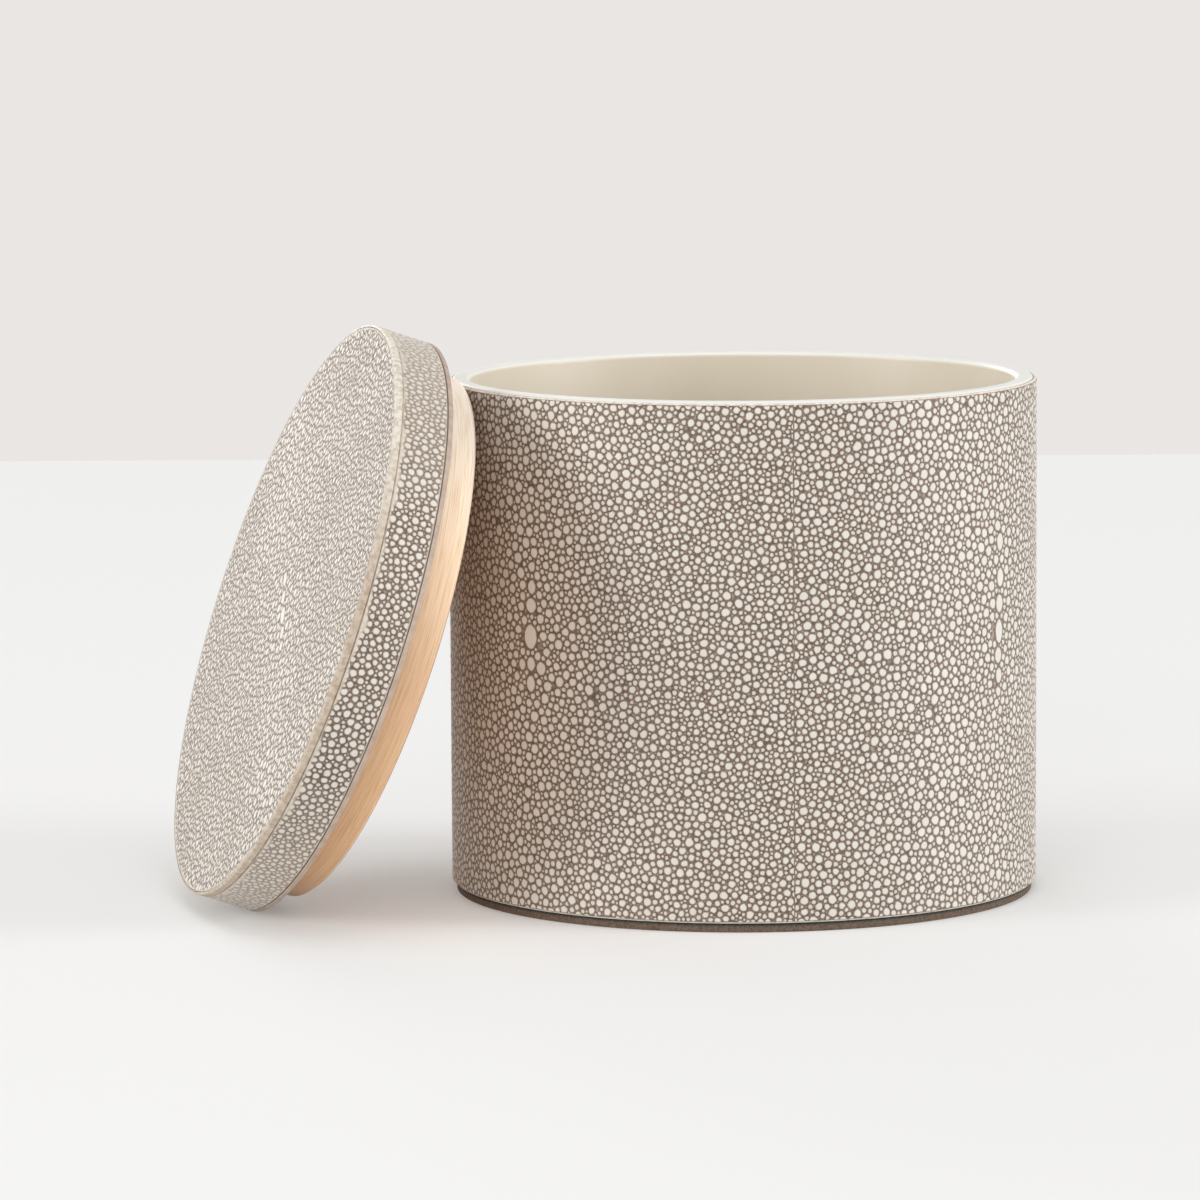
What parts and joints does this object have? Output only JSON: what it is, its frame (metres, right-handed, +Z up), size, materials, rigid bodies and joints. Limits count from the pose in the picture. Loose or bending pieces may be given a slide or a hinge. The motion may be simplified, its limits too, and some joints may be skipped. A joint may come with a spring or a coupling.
{
  "type": "cotton pad holder",
  "caption": "Round shagreen-covered canister for cotton pads, with an ivory rim and a lift-off lid on a birch plug, shown leaning against its side.",
  "frame": {"origin": "centre of the canister's base, on the surface it stands on", "axes": "+Z up along the canister's axis, -Y towards the picture's viewer, the lid leans towards -X"},
  "size_m": [0.1773, 0.142, 0.1172],
  "materials": {
    "shagreen": "matte faux shagreen with raised beads",
    "ivory_lacquer": "satin ivory lacquer",
    "dark_felt": "matte felt",
    "painted_edge": "satin edge paint",
    "lining": "matte lining",
    "birch": "fine sanded, clear oiled"
  },
  "bodies": {
    "canister": {"wall_tube": "ivory_lacquer", "floor_board": "ivory_lacquer", "base_pad": "dark_felt", "leather_front_right": "shagreen", "leather_back_right": "shagreen", "leather_back_left": "shagreen", "leather_front_left": "shagreen"},
    "lid": {"lid_board": "painted_edge", "lid_top_leather": "shagreen", "lid_band_leather": "shagreen", "lid_lining_ring": "lining", "lid_plug": "birch"}
  },
  "joints": [
    {"name": "lid_lift", "type": "slide", "parent": "canister", "child": "lid", "axis": [0, 0, 1], "range_m": [0, 0.12]}
  ]
}
